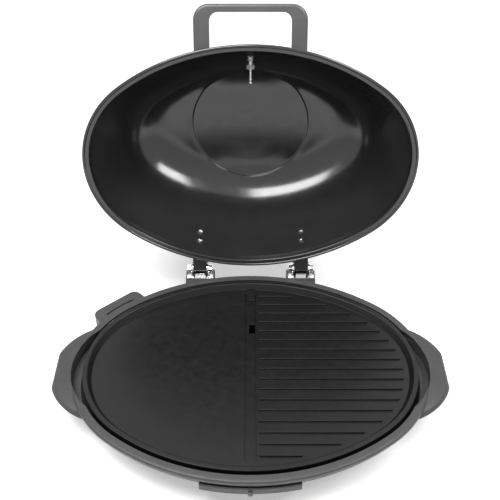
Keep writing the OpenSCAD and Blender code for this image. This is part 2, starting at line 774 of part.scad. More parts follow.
module terminal_pins() {
    color([0.8, 0.76, 0.6]) at_inlet() for (y = [-1, 1]) translate([terminal_x, y * terminal_pitch / 2, lead_z])
        rotate([0, 90, 0]) {
            cylinder(d = neck_d, h = collar_l + 1);
            translate([0, 0, collar_l]) cylinder(d = terminal_d, h = terminal_l);
            translate([0, 0, collar_l + terminal_l - eps]) cylinder(d1 = terminal_d, d2 = terminal_d - 2, h = 1.5);
        }
}

module pin_insulators() {
    color([0.9, 0.89, 0.85]) at_inlet() for (y = [-1, 1]) translate([terminal_x + fit, y * terminal_pitch / 2, lead_z])
        rotate([0, 90, 0]) difference() {
            union() {
                cylinder(d = terminal_d + 5, h = 6);
                cylinder(d = terminal_d + 3, h = collar_l - 2 * fit);
            }
            translate([0, 0, -1]) cylinder(r = neck_d / 2 + pin_fit, h = 14);
        }
}

// Blind tube that takes the thermostat's probe
module probe_tube() {
    color([0.75, 0.75, 0.75]) at_inlet() translate([probe_x, 0, lead_z]) rotate([0, 90, 0]) difference() {
        cylinder(r = tube_r, h = 38);
        translate([0, 0, 3]) cylinder(d = probe_d, h = 40);
    }
}

// Hinges

module ear_outline() {
    c = [hinge_y, hinge_z];
    polygon(concat([[tower_y0 + 3, tower_top], [tower_y1 - 2.5, tower_top], [tower_y1 - 2.5, hinge_z + 3]],
        arc(c, 8, 20, 180, 16), [[tower_y0 + 3, hinge_z - 5]]));
}

module base_hinge() {
    ear = ear_x + bracket_t;
    color([0.8, 0.8, 0.8]) translate([hinge_x, 0, 0]) difference() {
        union() {
            bar([-21, tower_y0 + 0.5, tower_top], [21, tower_y1 - 2, tower_top + bracket_t]);
            for (x = [-ear, ear_x]) across(x, x + bracket_t) ear_outline();
            bar([-ear, tower_y1 - 4, tower_top], [ear, tower_y1 - 2, stop_z]);
            bar([-8, tower_y0 + 4.5, tower_top], [8, tower_y0 + 4.5 + bracket_t, hinge_z - 4.7]);
        }
        translate([-30, hinge_y, hinge_z]) rotate([0, 90, 0]) cylinder(r = pin_d / 2 + pin_fit, h = 60);
        for (x = [-17.5, 17.5]) translate([x, tower_y0 + 4.5, tower_top - 1]) cylinder(d = screw_d + 0.4, h = 5);
    }
}

module base_hinge_screws() {
    color([0.75, 0.75, 0.75]) both_sides() for (x = [hinge_x - 17.5, hinge_x + 17.5])
        translate([x, tower_y0 + 4.5, tower_top + bracket_t]) screw(10);
}

module hinge_pin() {
    color([0.8, 0.8, 0.8]) translate([hinge_x - 19, hinge_y, hinge_z]) rotate([0, 90, 0]) cylinder(d = pin_d, h = 38);
}

module hinge_ends() {
    both_sides() translate([hinge_x, hinge_y, hinge_z]) for (side = [0, 180]) rotate([0, 0, side]) rotate([0, 90, 0])
        children();
}

module hinge_washers() {
    color([0.8, 0.8, 0.8]) hinge_ends() translate([0, 0, washer_x]) difference() {
        cylinder(r = washer_r, h = washer_t);
        translate([0, 0, -1]) cylinder(r = pin_d / 2 + pin_fit, h = 5);
    }
}

module hinge_cap_nuts() {
    color([0.85, 0.85, 0.85]) hinge_ends() translate([0, 0, washer_x + washer_t + 0.05]) difference() {
        union() {
            cylinder(r = nut_r, h = nut_h - 2, $fn = 6);
            intersection() {
                translate([0, 0, nut_h - 6]) sphere(r = 6);
                cylinder(r = 5.2, h = nut_h);
            }
        }
        translate([0, 0, -1]) cylinder(r = pin_d / 2 + 0.02, h = 7);
    }
}

// Lid, drawn closed

// Section of the lid's sheet: bead, flange, band, bend, wall and shoulder
module lid_section() {
    bend = [band_out - band_r, band_z];
    shoulder = [shoulder_out, shoulder_z];
    polygon(arc([bead_out, flange_z], bead_r, 0, 345, 23));
    polygon(concat([[bead_out, flange_z], [bead_out, flange_z + lid_t], [band_out + lid_t, flange_z + lid_t]],
        arc(bend, band_r + lid_t, 0, dome_lean, 5), arc(shoulder, shoulder_r, dome_lean, 90, 14),
        [[shoulder_out - 12, dome_z + lid_t], [shoulder_out - 12, dome_z]],
        arc(shoulder, shoulder_r - lid_t, 90, dome_lean, 14), arc(bend, band_r, dome_lean, 0, 5),
        [[band_out, flange_z]]));
}

// What lies within the lid's outside, grown by a gap, for fitting pieces to its wall
module lid_core(gap) {
    polygon([[-110, rim_z], [rim_out + gap, rim_z], [rim_out + gap, flange_z + bead_r + gap],
        [band_out + lid_t + gap, flange_z + bead_r + gap], [band_out + lid_t + gap, band_z],
        [cone_out0 + gap * cos(dome_lean), cone_z0 + gap * sin(dome_lean)],
        [cone_out0 - cone_run + gap * cos(dome_lean), cone_z0 + cone_h + gap * sin(dome_lean)],
        [-110, cone_z0 + cone_h]]);
}

// A frame on the outside of the rear wall, with +Z outwards
function wall_out(z) = cone_out0 - (z - cone_z0) * tan(dome_lean);
module on_wall(x, z) {
    r = side_r + wall_out(z);
    translate([0, -side_y, 0]) rotate(acos(x / r)) translate([r, 0, z]) rotate([0, 90 - dome_lean, 0]) children();
}

module on_front(x, z) {
    rotate(180) on_wall(-x, z) children();
}

module leaf_screw_places() {
    both_sides() for (z = leaf_screw_z) on_wall(hinge_x, z) children();
}

module handle_screw_places() {
    for (x = [-arm_x, arm_x]) on_front(x, handle_screw_z) children();
}

module lid_shell() {
    color([0.2, 0.2, 0.21]) difference() {
        union() {
            oval_sweep() lid_section();
            oval_slab(shoulder_out - 6, dome_z, dome_z + lid_t);
            translate([0, 0, dome_z + lid_t / 2]) cylinder(r = emboss_d / 2 + lid_t, h = emboss_h + lid_t / 2);
        }
        translate([0, 0, dome_z - 1]) cylinder(r = emboss_d / 2, h = emboss_h + 1);
        leaf_screw_places() translate([0, 0, -6]) cylinder(r = screw_d / 2 + 0.2, h = 12);
        handle_screw_places() translate([0, 0, -6]) cylinder(r = screw_d / 2 + 0.2, h = 12);
        on_front(0, rim_z + gauge_z) translate([0, 0, -6]) cylinder(d = stem_hole_d, h = 12);
    }
}

module lid_hinge() {
    c = [hinge_y, hinge_z];
    color([0.13, 0.13, 0.14]) difference() {
        across(hinge_x - leaf_w / 2, hinge_x + leaf_w / 2)
            polygon(concat(arc(c, knuckle_r, -90, 118, 16), [for (p = leaf_points) c + p]));
        rear_sweep() lid_core(fit);
        translate([0, hinge_y, hinge_z]) rotate([0, 90, 0]) cylinder(r = pin_d / 2 + pin_fit, h = 200);
        for (z = leaf_screw_z) on_wall(hinge_x, z) {
            cylinder(r = screw_d / 2 + 0.2, h = 20);
            translate([0, 0, 5]) cylinder(d = 9, h = 30);
        }
    }
}

module lid_hinge_screws() {
    color([0.75, 0.75, 0.75]) leaf_screw_places() {
        translate([0, 0, 5]) cylinder(d = 8, h = 2.5);
        translate([0, 0, -5]) cylinder(d = screw_d, h = 10 + eps);
    }
}

module lid_hinge_nuts() {
    color([0.85, 0.85, 0.85]) leaf_screw_places() translate([0, 0, -lid_t - 3.2 - 0.1]) difference() {
        cylinder(r = screw_d, h = 3.2, $fn = 6);
        translate([0, 0, -1]) cylinder(r = screw_d / 2 + 0.02, h = 6);
    }
}

// Lid handle, in a frame at its root with -Y along the arms
module at_handle() {
    translate([0, -handle_root, rim_z + handle_z]) rotate([-handle_tilt, 0, 0]) children();
}

// Section of the handle from its middle line to a rounded outer edge
module edge_section(reach) {
    e = handle_edge;
    h = handle_t / 2;
    polygon(concat([[0, -h]], arc([reach - e, -h + e], e, -90, 0, 6), arc([reach - e, h - e], e, 0, 90, 6), [[0, h]]));
}

module lid_handle() {
    half = handle_w / 2;
    color([0.45, 0.45, 0.47]) difference() {
        at_handle() difference() {
            union() {
                both_sides() {
                    translate([half - handle_r, 30, 0]) rotate([90, 0, 0]) linear_extrude(30 + handle_l - handle_r)
                        edge_section(handle_r);
                    translate([half - handle_r, handle_r - handle_l, 0]) rotate(-90) rotate_extrude(angle = 90)
                        edge_section(handle_r);
                    bar([0, handle_r - handle_l, -handle_t / 2], [half - handle_r, 30, handle_t / 2]);
                }
                translate([-half + handle_r, handle_r - handle_l, 0]) rotate([0, 0, -90]) rotate([90, 0, 0])
                    mirror([0, 0, 1]) linear_extrude(2 * (half - handle_r)) edge_section(handle_r);
            }
            rounded_slab([[-half + arm_w, bar_w - handle_l], [half - arm_w, bar_w - handle_l],
                [half - arm_w, 60], [-half + arm_w, 60]], handle_inner_r, -20, 20);
        }
        front_sweep() lid_core(fit);
        handle_screw_places() cylinder(d = screw_d - 0.6, h = 14);
    }
}

module lid_handle_screws() {
    color([0.75, 0.75, 0.75]) handle_screw_places() translate([0, 0, -lid_t - 0.1]) rotate([180, 0, 0]) screw(14);
}

// Gauge, in a frame on the outside of the front wall with +Z outwards
module at_gauge() {
    on_front(0, rim_z + gauge_z) children();
}

module turned() {
    rotate_extrude() children();
}

module gauge_case() {
    r = gauge_d / 2;
    t = case_t;
    color([0.75, 0.75, 0.76]) at_gauge() turned() polygon([[stem_d / 2 + 0.1, 0.1], [r - 1, 0.1], [r, 1.1],
        [r, gauge_h - 0.6], [r - 0.6, gauge_h], [r - 2.6, gauge_h], [r - 2.6, gauge_h - 0.8], [r - t, gauge_h - 0.8],
        [r - t, t + 0.1], [stem_d / 2 + 0.1, t + 0.1]]);
}

module gauge_dial() {
    color([0.92, 0.92, 0.9]) at_gauge() translate([0, 0, dial_z]) difference() {
        cylinder(r = gauge_d / 2 - case_t - 0.2, h = 0.6);
        translate([0, 0, -1]) cylinder(r = 1.6, h = 3);
    }
}

module gauge_pointer() {
    color([0.7, 0.1, 0.08]) at_gauge() {
        translate([0, 0, dial_z + 1]) linear_extrude(0.5)
            polygon([[-7, -1.2], [0, -1.6], [gauge_d * 0.36, -0.3], [gauge_d * 0.36, 0.3], [0, 1.6], [-7, 1.2]]);
        translate([0, 0, dial_z + 0.9]) cylinder(r = 2.4, h = 1.3);
        translate([0, 0, -3]) cylinder(r = 0.75, h = dial_z + 4);
    }
}

module gauge_lens() {
    color([0.8, 0.88, 0.9, 0.35]) at_gauge() translate([0, 0, gauge_h - 2.2])
        cylinder(r = gauge_d / 2 - case_t - 0.15, h = 1.3);
}

module gauge_stem() {
    collar = -lid_t - spacer_h - wing_h - 2.5;
    tip = -gauge_probe + ball_d / 2;
    r = stem_d / 2;
    color([0.8, 0.8, 0.8]) at_gauge() {
        turned() polygon([[0, tip], [1.9, tip], [1.9, collar - collar_h - lock_h], [r, collar - collar_h - lock_h],
            [r, collar - collar_h], [r + 1, collar - collar_h], [r + 1, collar], [r, collar], [r, case_t + 0.2],
            [r + 3, case_t + 0.2], [r + 3, case_t + 1.2], [r + 1, case_t + 1.2], [r + 1, dial_z - 0.1],
            [0.8, dial_z - 0.1], [0.8, -4], [0, -4]]);
        translate([0, 0, tip]) sphere(d = ball_d);
    }
}

module gauge_spacer() {
    color([0.15, 0.15, 0.15]) at_gauge() translate([0, 0, -lid_t - spacer_h - 0.2]) difference() {
        cylinder(r = stem_d / 2 + 3, h = spacer_h);
        translate([0, 0, -1]) cylinder(r = stem_d / 2 + 0.1, h = spacer_h + 2);
    }
}

module gauge_wing_nut() {
    top = -lid_t - spacer_h - 0.3;
    color([0.8, 0.8, 0.8]) at_gauge() difference() {
        union() {
            translate([0, 0, top - wing_h]) cylinder(r = stem_d / 2 + 2.2, h = wing_h);
            for (side = [0, 180]) rotate(side) rotate([90, 0, 0]) translate([0, 0, -1.25]) linear_extrude(2.5)
                polygon(rounded([[3.5, top - wing_h], [15, top - wing_h - 1.5], [18.5, top - 3], [15, top - 0.5],
                    [3.5, top - 1]], 1.5));
        }
        translate([0, 0, top - wing_h - 3]) cylinder(r = stem_d / 2 + 0.02, h = wing_h + 6);
    }
}

module gauge_lock_nut() {
    top = -lid_t - spacer_h - wing_h - 2.5 - collar_h;
    color([0.85, 0.85, 0.85]) at_gauge() translate([0, 0, top - lock_h + 0.1]) difference() {
        cylinder(r = 6.4, h = lock_h - 0.2, $fn = 6);
        translate([0, 0, -1]) cylinder(r = stem_d / 2 + 0.02, h = lock_h + 2);
    }
}

on_base() base_housing();
on_base() mirror([1, 0, 0]) grip_cover();  // left_grip_cover
on_base() grip_cover();  // right_grip_cover
on_base() grip_cover_screws();
on_base() inlet_guard();
on_base() guard_screws();
on_base() feet();
on_base() foot_screws();
on_base() heat_reflector();
on_base() reflector_screws();
on_base() tray_rails();
on_base() rail_screws();
on_base() drip_tray();
on_base() grill_plate();
on_base() heating_element();
on_base() element_clamps();
on_base() clamp_screws();
on_base() terminal_pins();
on_base() pin_insulators();
on_base() probe_tube();
on_base() mirror([1, 0, 0]) base_hinge();  // left_base_hinge
on_base() base_hinge();  // right_base_hinge
on_base() base_hinge_screws();
on_base() mirror([1, 0, 0]) hinge_pin();  // left_hinge_pin
on_base() hinge_pin();  // right_hinge_pin
on_base() hinge_washers();
on_base() hinge_cap_nuts();
on_lid() lid_shell();
on_lid() mirror([1, 0, 0]) lid_hinge();  // left_lid_hinge
on_lid() lid_hinge();  // right_lid_hinge
on_lid() lid_hinge_screws();
on_lid() lid_hinge_nuts();
on_lid() lid_handle();
on_lid() lid_handle_screws();
on_lid() gauge_case();
on_lid() gauge_dial();
on_lid() gauge_pointer();
on_lid() gauge_lens();
on_lid() gauge_stem();
on_lid() gauge_spacer();
on_lid() gauge_wing_nut();
on_lid() gauge_lock_nut();
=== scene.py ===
import json
import math
import bpy
import bmesh
from mathutils import Matrix, Vector


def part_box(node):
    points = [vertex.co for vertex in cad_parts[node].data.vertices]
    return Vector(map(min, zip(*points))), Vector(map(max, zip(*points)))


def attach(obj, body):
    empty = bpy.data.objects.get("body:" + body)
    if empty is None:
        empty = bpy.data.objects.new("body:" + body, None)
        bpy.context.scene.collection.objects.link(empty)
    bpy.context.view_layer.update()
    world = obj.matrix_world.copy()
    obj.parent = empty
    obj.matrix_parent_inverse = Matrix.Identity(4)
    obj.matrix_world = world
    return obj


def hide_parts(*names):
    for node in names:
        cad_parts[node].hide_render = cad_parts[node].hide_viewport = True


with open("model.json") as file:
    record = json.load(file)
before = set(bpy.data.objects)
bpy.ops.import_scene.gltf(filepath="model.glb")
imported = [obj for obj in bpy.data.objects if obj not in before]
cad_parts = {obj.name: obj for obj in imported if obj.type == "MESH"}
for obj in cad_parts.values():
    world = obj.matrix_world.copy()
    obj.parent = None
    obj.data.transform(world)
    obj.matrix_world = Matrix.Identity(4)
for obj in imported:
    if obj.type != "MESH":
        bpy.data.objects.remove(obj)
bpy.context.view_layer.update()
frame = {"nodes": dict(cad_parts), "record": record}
nodes = frame["nodes"]
MM = 0.001
WELD_GAP = 0.00002
LAMP_WHITE = (1.0, 1.0, 1.0, 1.0)


# Materials

class Graph:
    """Short calls for a material's nodes."""

    def __init__(self, tree):
        self.tree = tree

    def add(self, kind, settings=None, **inputs):
        made = self.tree.nodes.new("ShaderNode" + kind)
        for name, value in (settings or {}).items():
            setattr(made, name, value)
        for name, value in inputs.items():
            self.put(made, name, value)
        return made

    def put(self, made, name, value):
        socket = made.inputs[int(name[1:])] if name[0] == "_" else made.inputs[name.replace("_", " ")]
        if isinstance(value, bpy.types.NodeSocket):
            self.tree.links.new(value, socket)
        else:
            socket.default_value = value

    def noise(self, place, scale, detail=3.0, rough=0.5):
        made = self.add("TexNoise", Vector=place, Scale=scale, Detail=detail, Roughness=rough)
        return made.outputs["Fac"]

    def span(self, value, lo, hi, to_lo, to_hi):
        made = self.add("MapRange", _0=value, _1=lo, _2=hi, _3=to_lo, _4=to_hi)
        return made.outputs[0]

    def math(self, op, a, b):
        return self.add("Math", {"operation": op}, _0=a, _1=b).outputs[0]

    def mix(self, amount, a, b):
        made = self.add("Mix", {"data_type": "RGBA"})
        self.put(made, "_0", amount)
        self.put(made, "_6", a)
        self.put(made, "_7", b)
        return made.outputs[2]


def rgba(colour, factor=1.0):
    return tuple(min(1.0, c * factor) for c in colour[:3]) + (1.0,)


DUST = (0.35, 0.34, 0.33, 1.0)
SPECKLE_SCALE = 700.0
# The second lift is how much lighter the painted highlight along edges is than the colour.
SPECKLE_LIFT, EDGE_HIGHLIGHT_LIFT = 3.2, 1.9
BEVEL_SAMPLES = {"samples": 4}


def surface(name, colour, rough, metallic=0.0, spread=0.12, rough_spread=0.08, grain=1500.0,
            grain_depth=0.02, blotch=28.0, edge=0.0, edge_mm=0.5, specular=0.5, stretch=(1, 1, 1),
            speckle=0.0, dust=0.0, blur=0.4):
    """A finish with broad colour variation, fine grain, softened edges and a patchy painted highlight
    along them.

    grain_depth, edge_mm and blur are in mm; grain and blotch are noise scales.
    """
    material = bpy.data.materials.new(name)
    material.use_nodes = True
    g = Graph(material.node_tree)
    shader = material.node_tree.nodes["Principled BSDF"]
    where = g.add("TexCoord").outputs["Object"]
    if stretch != (1, 1, 1):
        where = g.add("Mapping", Vector=where, Scale=stretch).outputs[0]
    broad = g.noise(where, blotch, 4.0, 0.55)
    fine = g.noise(where, grain, 2.0, 0.6)
    tone = g.mix(g.span(broad, 0.35, 0.65, 0.0, 1.0), rgba(colour, 1 - spread), rgba(colour, 1 + spread))
    tone = g.mix(g.span(fine, 0.42, 0.62, 0.0, 0.35), tone, rgba(colour, 1 - 1.6 * spread))
    if speckle:
        spots = g.add("TexVoronoi", {"feature": "F1"}, Vector=where, Scale=SPECKLE_SCALE)
        fleck = g.span(spots.outputs["Distance"], 0.05, 0.22, speckle, 0.0)
        tone = g.mix(fleck, tone, rgba(colour, SPECKLE_LIFT))
    if dust:
        haze = g.noise(where, blotch * 6, 5.0, 0.7)
        tone = g.mix(g.span(haze, 0.55, 0.8, 0.0, dust), tone, DUST)
    soft = g.add("Bevel", BEVEL_SAMPLES, Radius=blur * MM).outputs[0]
    # Painted highlight: rounded edges made lighter in colour where the bevelled normal turns from the
    # face, broken into patches by the broad noise.
    if edge:
        wide = g.add("Bevel", BEVEL_SAMPLES, Radius=edge_mm * MM).outputs[0]
        plain = g.add("NewGeometry").outputs["Normal"]
        turn = g.add("VectorMath", {"operation": "DOT_PRODUCT"}, _0=wide, _1=plain).outputs["Value"]
        edge_highlight = g.span(turn, 0.985, 0.8, 0.0, edge)
        patchy_edge_highlight = g.math("MULTIPLY", edge_highlight, g.span(broad, 0.3, 0.6, 0.35, 1.0))
        tone = g.mix(patchy_edge_highlight, tone, rgba(colour, EDGE_HIGHLIGHT_LIFT))
    g.put(shader, "Base Color", tone)
    g.put(shader, "Roughness", g.span(g.noise(where, blotch * 3.3, 4.0, 0.6), 0.3, 0.7,
                                      max(0.03, rough - rough_spread), min(1.0, rough + rough_spread)))
    shader.inputs["Metallic"].default_value = metallic
    shader.inputs["Specular IOR Level"].default_value = specular
    relief = g.add("Bump", Height=fine, Normal=soft)
    relief.inputs["Strength"].default_value = 0.5
    relief.inputs["Distance"].default_value = grain_depth * MM
    g.put(shader, "Normal", relief.outputs[0])
    material.diffuse_color = rgba(colour)
    return material


def glass(name, colour):
    """Clear glass with a faint, uneven film."""
    material = bpy.data.materials.new(name)
    material.use_nodes = True
    g = Graph(material.node_tree)
    shader = material.node_tree.nodes["Principled BSDF"]
    where = g.add("TexCoord").outputs["Object"]
    film = g.span(g.noise(where, 90.0), 0.3, 0.7, 0.0, 1.0)
    g.put(shader, "Base Color", g.mix(film, rgba(colour, 1.05), rgba(colour)))
    g.put(shader, "Roughness", g.span(g.noise(where, 260.0, 5.0, 0.7), 0.4, 0.8, 0.03, 0.12))
    shader.inputs["Transmission Weight"].default_value = 0.95
    shader.inputs["IOR"].default_value = 1.48
    shader.inputs["Alpha"].default_value = 0.35
    return material


PLASTIC = (0.042, 0.042, 0.0432)
MOULDED = dict(grain=1300.0, grain_depth=0.05, edge=0.35, spread=0.07, specular=0.42, blur=0.9)
FINISH = {
    "housing": surface("housing", PLASTIC, 0.46, dust=0.03, **MOULDED),
    "cover": surface("cover", (0.055, 0.055, 0.057), 0.5, grain=1300.0, grain_depth=0.05, edge=0.3,
                     spread=0.08),
    "rubber": surface("rubber", (0.022, 0.022, 0.022), 0.75, grain=900.0, grain_depth=0.06, spread=0.15,
                      dust=0.12),
    "screws": surface("screws", (0.55, 0.55, 0.57), 0.3, 1.0, grain=2200.0, edge=0.3, spread=0.1),
    "reflector": surface("reflector", (0.72, 0.72, 0.71), 0.25, 1.0, stretch=(12, 1, 1), grain=500.0,
                         spread=0.08),
    "rails": surface("rails", (0.5, 0.51, 0.52), 0.42, 1.0, blotch=120.0, spread=0.2, rough_spread=0.14),
    "tray": surface("tray", PLASTIC, 0.46, **MOULDED),
    "plate": surface("plate", (0.007, 0.007, 0.0072), 0.36, grain=1900.0, grain_depth=0.035, speckle=0.1,
                     spread=0.12, edge=0.4, edge_mm=0.8, specular=0.28, rough_spread=0.06, blur=0.7),
    "element": surface("element", (0.16, 0.15, 0.15), 0.48, 0.9, blotch=60.0, spread=0.3, dust=0.1),
    "terminals": surface("terminals", (0.62, 0.58, 0.46), 0.28, 1.0, spread=0.12, edge=0.3),
    "insulator": surface("insulator", (0.74, 0.73, 0.69), 0.62, grain=1400.0, grain_depth=0.03,
                         spread=0.05),
    "tube": surface("tube", (0.6, 0.6, 0.6), 0.3, 1.0, stretch=(1, 1, 10), grain=700.0, spread=0.1),
    "bracket": surface("bracket", (0.78, 0.78, 0.79), 0.13, 1.0, grain=600.0, grain_depth=0.003,
                       spread=0.05, rough_spread=0.05, edge=0.2, blur=0.5),
    "lid": surface("lid", (0.016, 0.016, 0.0158), 0.17, grain=1700.0, grain_depth=0.012, spread=0.1,
                   rough_spread=0.03, edge=0.2, edge_mm=0.3, specular=0.66, blur=0.3),
    "leaf": surface("leaf", (0.018, 0.018, 0.018), 0.4, grain=1200.0, grain_depth=0.03, edge=0.4,
                    spread=0.12, blur=0.8),
    "handle": surface("handle", (0.062, 0.062, 0.064), 0.36, edge=0.3, spread=0.07, blur=1.0),
    "gauge_metal": surface("gauge_metal", (0.6, 0.6, 0.61), 0.24, 1.0, stretch=(1, 1, 6), grain=800.0,
                           spread=0.08, edge=0.2),
    "dial_face": surface("dial_face", (0.82, 0.82, 0.8), 0.32, grain_depth=0.01, spread=0.03),
    "pointer": surface("pointer", (0.5, 0.02, 0.015), 0.3, grain_depth=0.01, spread=0.08),
    "lens": glass("lens", (0.93, 0.96, 0.96)),
    "spacer": surface("spacer", (0.02, 0.02, 0.02), 0.5, grain=1200.0, grain_depth=0.04, spread=0.15),
}
INK = surface("ink", (0.02, 0.02, 0.02), 0.4, grain_depth=0.005, spread=0.1)


# CAD nodes: their own finish, and smooth shading across shallow folds

FOLD_ANGLE = math.radians(31)
FACE_WEIGHT = 80

for part in frame["record"]["subparts"]:
    piece = nodes[part["node"]]
    piece.data.materials.clear()
    piece.data.materials.append(FINISH[part["material_slot"]])
    if "custom_normal" in piece.data.attributes:
        piece.data.attributes.remove(piece.data.attributes["custom_normal"])
    piece.data.shade_smooth()
    weld = piece.modifiers.new("weld", "WELD")
    weld.merge_threshold = WELD_GAP
    split = piece.modifiers.new("split", "EDGE_SPLIT")
    split.split_angle = FOLD_ANGLE
    level = piece.modifiers.new("level", "WEIGHTED_NORMAL")
    level.weight = FACE_WEIGHT
    level.keep_sharp = True


def solids(node):
    """The separate solids of a CAD node, each as (middle of its box, its points)."""
    bm = bmesh.new()
    bm.from_mesh(nodes[node].data)
    bmesh.ops.remove_doubles(bm, verts=bm.verts, dist=WELD_GAP)
    left, found = set(bm.verts), []
    while left:
        group, queue = set(), [left.pop()]
        while queue:
            v = queue.pop()
            group.add(v)
            for e in v.link_edges:
                w = e.other_vert(v)
                if w in left:
                    left.discard(w)
                    queue.append(w)
        lo = Vector([min(v.co[i] for v in group) for i in range(3)])
        hi = Vector([max(v.co[i] for v in group) for i in range(3)])
        found.append(((lo + hi) / 2, [v.co.copy() for v in group]))
    bm.free()
    return found


def piece_from(bm, name, body, material, smooth_angle=32):
    """A new piece from a mesh in the making, smooth across folds below smooth_angle degrees."""
    bmesh.ops.recalc_face_normals(bm, faces=bm.faces)
    mesh = bpy.data.meshes.new(name)
    bm.to_mesh(mesh)
    bm.free()
    mesh.materials.append(material)
    mesh.shade_smooth()
    mesh.set_sharp_from_angle(angle=math.radians(smooth_angle))
    made = bpy.data.objects.new(name, mesh)
    bpy.context.collection.objects.link(made)
    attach(made, body)
    return made


# Screws: a domed head with a cross recess, on the axis of each CAD screw

CROSS_ARM, CROSS_HALF, CROSS_DEPTH = 0.56, 0.12, 0.62
CROSS_FLANK = 0.7
DOME_FALL = 0.55
HEAD_H, FOOT_HEAD_H = 1.8 * MM, 2.2 * MM


def cross_depth(x, y, arm, half, depth):
    """How far the cross recess lies below the dome at a point of the head."""
    a = max(abs(x) - half, abs(y) - arm)
    b = max(abs(y) - half, abs(x) - arm)
    return depth * min(1.0, max(0.0, 0.5 - min(a, b) / (half * CROSS_FLANK)))


def add_screw(bm, base, axis, head_r, head_h, shank_r, shank_l, rings=16, around=48):
    """One screw, whose head stands on base and whose shank goes the other way."""
    turn = axis.to_track_quat("Z", "Y").to_matrix().to_4x4()
    place = Matrix.Translation(base) @ turn
    arm, half, depth = head_r * CROSS_ARM, head_r * CROSS_HALF, head_h * CROSS_DEPTH
    rows = []
    middle = bm.verts.new(place @ Vector((0, 0, head_h - depth)))
    for i in range(1, rings + 1):
        r = head_r * i / rings
        dome = head_h * (1 - DOME_FALL * (i / rings) ** 3)
        row = []
        for k in range(around):
            a = 2 * math.pi * k / around
            x, y = r * math.cos(a), r * math.sin(a)
            row.append(bm.verts.new(place @ Vector((x, y, dome - cross_depth(x, y, arm, half, depth)))))
        rows.append(row)
    tip_r = shank_r * 0.5
    for r, z in ((head_r, 0.0), (shank_r, 0.0), (shank_r, tip_r - shank_l), (tip_r, -shank_l)):
        rows.append([bm.verts.new(place @ Vector((r * math.cos(2 * math.pi * k / around),
                                                  r * math.sin(2 * math.pi * k / around), z)))
                     for k in range(around)])
    for k in range(around):
        bm.faces.new((middle, rows[0][k], rows[0][(k + 1) % around]))
        for a, b in zip(rows, rows[1:]):
            bm.faces.new((a[k], b[k], b[(k + 1) % around], a[(k + 1) % around]))
    bm.faces.new(rows[-1])


def screws(node, body, slot, axis, head_h):
    """A cross-headed screw in place of each CAD screw, with the CAD screw's own lengths and radii."""
    bm = bmesh.new()
    for middle, points in solids(node):
        along = [(p - middle).dot(axis) for p in points]
        across = [((p - middle) - axis * (p - middle).dot(axis)).length for p in points]
        top, low = max(along), min(along)
        head_r = max(across)
        shank_r = min(a for a, t in zip(across, along) if t < low + 0.001)
        add_screw(bm, middle + axis * (top - head_h), axis, head_r, head_h, shank_r, top - low - head_h)
    made = piece_from(bm, node + "_crosshead", body, FINISH[slot])
    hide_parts(node)


UP, DOWN = Vector((0, 0, 1)), Vector((0, 0, -1))


screws("base_hinge_screws", "base", "bracket", UP, HEAD_H)
screws("reflector_screws", "base", "screws", UP, HEAD_H)
screws("grip_cover_screws", "base", "screws", DOWN, HEAD_H)
screws("foot_screws", "base", "screws", DOWN, FOOT_HEAD_H)


# Lid: one smooth sheet with a rolled bead, swept round the oval, in place of the CAD solid
# Its sizes are those of the source, in mm, drawn closed about the plate's middle, z = 0 at the ring's top
# Only the shoulder is softer than the source's. OUT is how far a line lies outside the plate's oval

LEAN = math.radians(24)
OPENING = math.radians(-97.5)
HALF_W, HALF_D = 229.0, 165.0
UNIT = (HALF_W - HALF_D) / 2
END_X, SIDE_Y = 3 * UNIT, 4 * UNIT
END_R = HALF_W - END_X
SIDE_R = END_R + 5 * UNIT
END_ANGLE = math.atan2(4, 3)
HINGE = Vector((0.0, HALF_D + 23.4, 11.3))
RING_TOP = 74.0
RIM_Z, BEAD_R, SHEET = 0.5, 2.2, 1.0
FLANGE_FILLET, BEAD_END = 1.2, 515
FLANGE_Z = RIM_Z + BEAD_R
BEAD_OUT = 12.2 - BEAD_R
BAND_OUT = 2.2
BAND_Z = FLANGE_Z + 11.0
BEND_R = 5.0
DOME_Z = RIM_Z + 139.0
FLAT_OUT, CROWN_OUT = -72.2, -96.0
EMBOSS_R, EMBOSS_H = 91.0, 1.5
EMBOSS_EDGE = ((1.4, 0.0), (0.8, 0.06), (0.4, 0.2), (0.0, 0.5), (-0.4, 0.8), (-0.8, 0.94), (-1.4, 1.0),
               (-2.0, 1.0), (-5.0, 1.0), (-29.0, 1.0), (-60.0, 1.0), (-85.0, 1.0))
SHOULDER, ROUNDNESS = 50.0, 0.82
FINE_STEPS = 96
PER_END, PER_SIDE = 46, 56
LID_SMOOTH_ANGLE = 50
pin_lo, pin_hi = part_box("left_hinge_pin")
middle_y = HINGE.y - (pin_lo.y + pin_hi.y) / 2 / MM


def lid_place():
    """From the closed lid about the plate's middle, in mm, to the open lid in the row's frame."""
    scale = Matrix.Scale(MM, 4)
    on_table = Matrix.Translation(Vector((0, HINGE.y - middle_y, HINGE.z + RING_TOP)))
    return scale @ on_table @ Matrix.Rotation(OPENING, 4, "X") @ Matrix.Translation(-HINGE)


def oval_stations(per_end, per_side):
    """Round the oval: (centre, outward direction, radius) for each station."""
    found = []
    for turn in (0.0, math.pi):
        for centre, radius, first, last, count in (
                (Vector((END_X, 0)), END_R, -END_ANGLE, END_ANGLE, per_end),
                (Vector((0, -SIDE_Y)), SIDE_R, END_ANGLE, math.pi - END_ANGLE, per_side)):
            for k in range(count):
                a = first + (last - first) * k / count
                c, s = math.cos(turn), math.sin(turn)
                found.append((Vector((c * centre.x - s * centre.y, s * centre.x + c * centre.y)),
                              Vector((math.cos(a + turn), math.sin(a + turn))), radius))
    return found


def arc(centre, r, first, last, steps):
    """Points of an arc from the first angle to the last, in degrees."""
    angles = [math.radians(first + (last - first) * k / steps) for k in range(steps + 1)]
    return [(centre[0] + r * math.cos(a), centre[1] + r * math.sin(a)) for a in angles]


